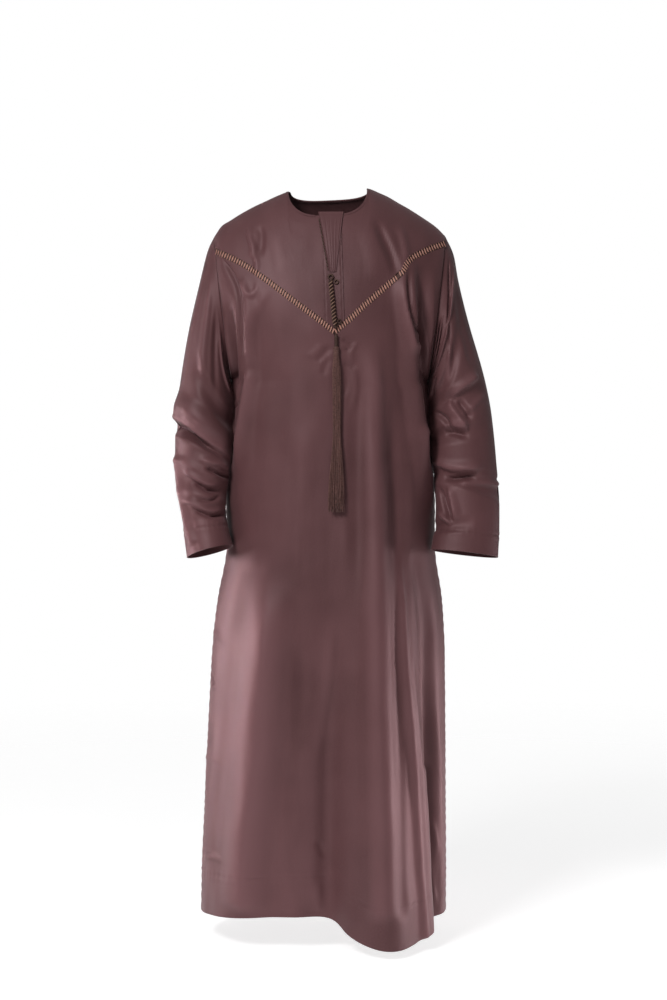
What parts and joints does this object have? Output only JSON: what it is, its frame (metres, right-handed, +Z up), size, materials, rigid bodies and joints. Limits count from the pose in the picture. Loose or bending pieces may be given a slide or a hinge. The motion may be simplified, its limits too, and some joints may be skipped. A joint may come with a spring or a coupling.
{
  "type": "jubba robe",
  "caption": "Long collarless robe in its hollow worn form, with a V openwork insertion, a gathered placket tab, a corded closing, a hanging tassel and wide hemmed sleeves.",
  "frame": {"origin": "midway between the two sides of the neck, on the shoulder line, where the robe rests on the wearer", "axes": "+Z up, the front faces -Y, +X to the wearer's left"},
  "size_m": [0.6283, 0.3901, 1.4533],
  "materials": {
    "cloth": "smooth plain weave with a slight sheen, plum brown",
    "stitching": "tan thread over brown",
    "cording": "dull dark brown cord and thread"
  },
  "bodies": {
    "root": {"yoke_right": "cloth", "yoke_left": "cloth", "front_panel": "cloth", "back_panel": "cloth", "sleeve_right": "cloth", "sleeve_left": "cloth", "insertion_right": "stitching", "insertion_left": "stitching", "placket_band": "cloth", "placket_tab": "cloth", "neck_binding": "cloth", "ring_upper_large": "cording", "ring_upper_small": "cording", "ring_lower": "cording", "closing_cord": "cording", "tassel_neck": "cording", "tassel": "cording"}
  },
  "joints": []
}
